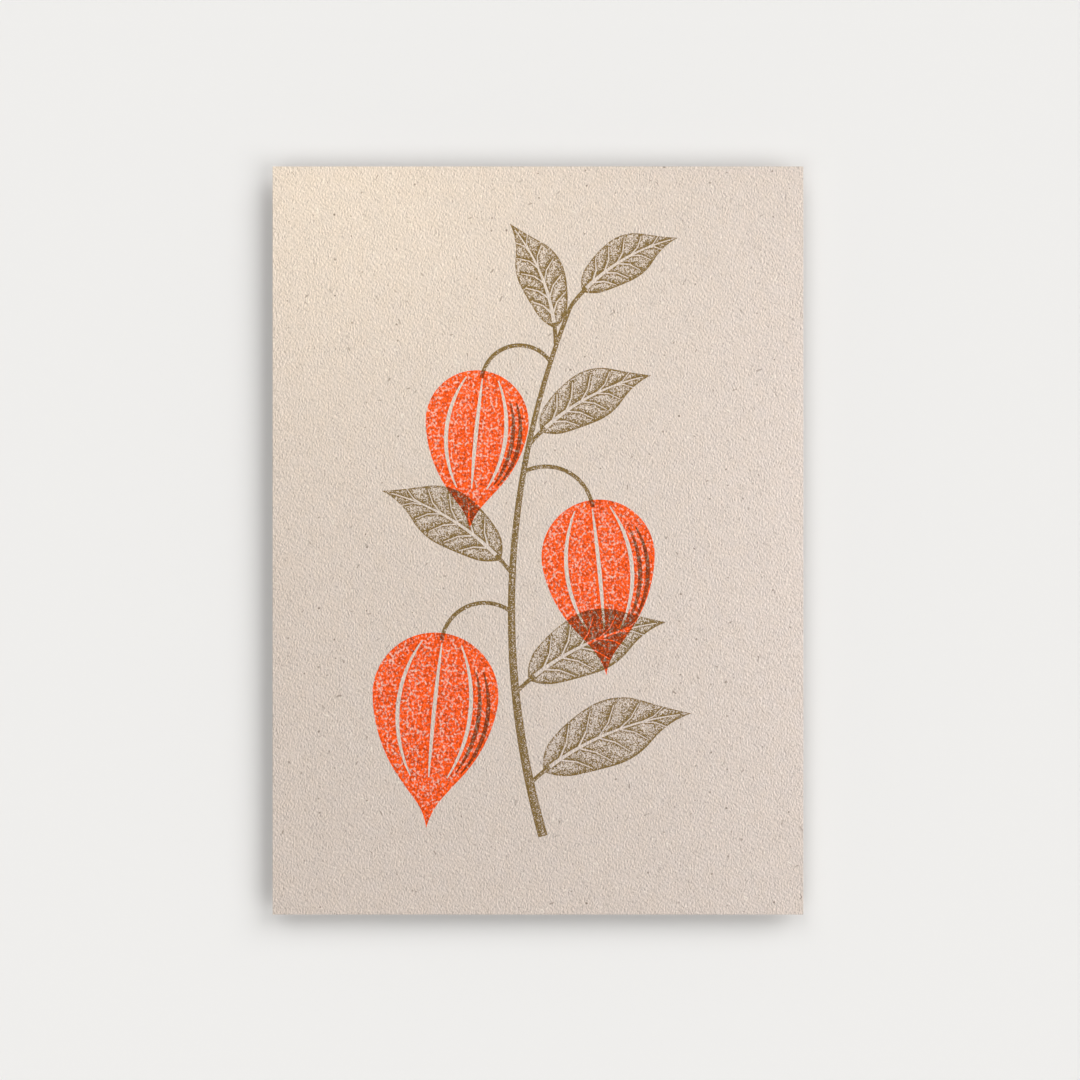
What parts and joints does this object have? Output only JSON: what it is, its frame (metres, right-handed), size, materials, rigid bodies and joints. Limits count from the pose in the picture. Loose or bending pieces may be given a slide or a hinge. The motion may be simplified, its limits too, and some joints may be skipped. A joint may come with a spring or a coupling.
{
  "type": "picture postcard",
  "caption": "Flat A6 picture postcard of thick recycled board: a two-colour botanical print on the front, a ruled address side on the back.",
  "frame": {"origin": "the middle of the card's back, on the surface it lies on", "axes": "+X to the right of the picture, +Y to the top of the picture, +Z out of the picture side"},
  "size_m": [0.105, 0.148, 0.0005],
  "materials": {
    "recycled_board": "matte",
    "olive_ink": "matte",
    "orange_ink": "matte",
    "overprint_ink": "matte"
  },
  "bodies": {
    "root": {"front_ply": "recycled_board", "core_ply": "recycled_board", "back_ply": "recycled_board", "olive_stem": "olive_ink", "olive_leaves": "olive_ink", "orange_lanterns": "orange_ink", "olive_over_orange": "overprint_ink", "back_divider": "olive_ink", "back_address_lines": "olive_ink", "back_stamp_frame": "olive_ink"}
  },
  "joints": []
}
